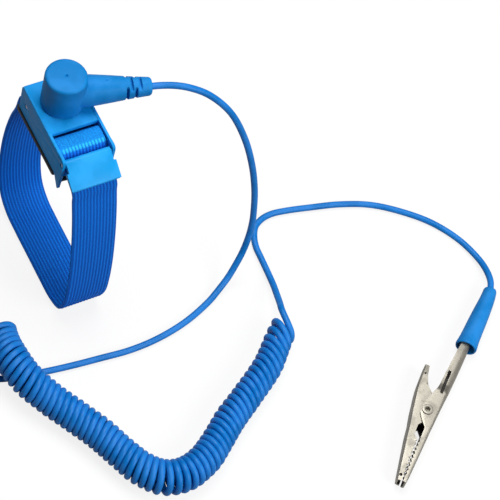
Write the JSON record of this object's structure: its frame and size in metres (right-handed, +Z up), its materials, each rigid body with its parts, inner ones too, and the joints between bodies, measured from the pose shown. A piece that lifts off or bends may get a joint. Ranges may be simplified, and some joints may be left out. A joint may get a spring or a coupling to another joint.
{
  "type": "anti-static wrist strap",
  "caption": "Adjustable elastic wrist strap with a buckle, a press-stud cap on a coiled grounding cord, and a sleeved crocodile clip.",
  "frame": {"origin": "on the surface that the band stands on, under the middle of the strap and its snap head, measured without the cord and clip", "axes": "+Z up, from the surface through the buckle to the snap cap; -Y towards the clamp lever; +X towards the neck side, along the wearer's arm to the hand"},
  "size_m": [0.1977, 0.1625, 0.0953],
  "materials": {
    "blue_plastic": "satin moulded",
    "blue_soft": "satin, slightly soft",
    "cord_jacket": "satin flexible jacket",
    "webbing": "ribbed elastic webbing",
    "black_plastic": "matte",
    "nickel": "bright nickel plate",
    "steel": "brushed",
    "tinned_copper": "tinned wire",
    "resin": "baked coating"
  },
  "bodies": {
    "cord": {"cord_lead": "cord_jacket", "cord_coil": "cord_jacket", "cord_tail": "cord_jacket", "clip_sleeve": "blue_soft", "fixed_jaw": "nickel", "jaw_rivet": "nickel", "jaw_spring": "steel", "cord_conductor": "tinned_copper"},
    "head": {"snap_head": "blue_soft", "snap_socket": "nickel", "socket_spring": "steel", "resistor_body": "resin", "resistor_lead_socket": "tinned_copper", "resistor_lead_cord": "tinned_copper", "cord_ferrule": "nickel"},
    "strap": {"elastic_band": "webbing", "buckle_housing": "blue_plastic", "base_pad": "black_plastic", "contact_plate": "steel", "stud_rivet": "steel", "snap_stud": "nickel", "band_anchor_pin": "steel", "lever_pin": "steel"},
    "lever": {"clamp_lever": "blue_plastic"},
    "jaw": {"moving_jaw": "nickel"}
  },
  "joints": [
    {"name": "snap_lift", "type": "slide", "parent": "cord", "child": "head", "axis": [0, 0, 1], "range_m": [0, 0.008]},
    {"name": "strap_swivel", "type": "hinge", "parent": "cord", "child": "strap", "pos_m": [-0.00969, 0.009, 0.08], "axis": [0, 0, 1], "continuous": true},
    {"name": "lever_hinge", "type": "hinge", "parent": "strap", "child": "lever", "pos_m": [-0.00969, -0.0123, 0.0768], "axis": [-1, 0, 0], "range_deg": [0, 48]},
    {"name": "jaw_hinge", "type": "hinge", "parent": "cord", "child": "jaw", "pos_m": [0.0853, -0.1116, 0.0043], "axis": [0, 0, -1], "range_deg": [0, 18], "stiffness_Nm_per_rad": 0.12, "springref_deg": -25.78}
  ]
}
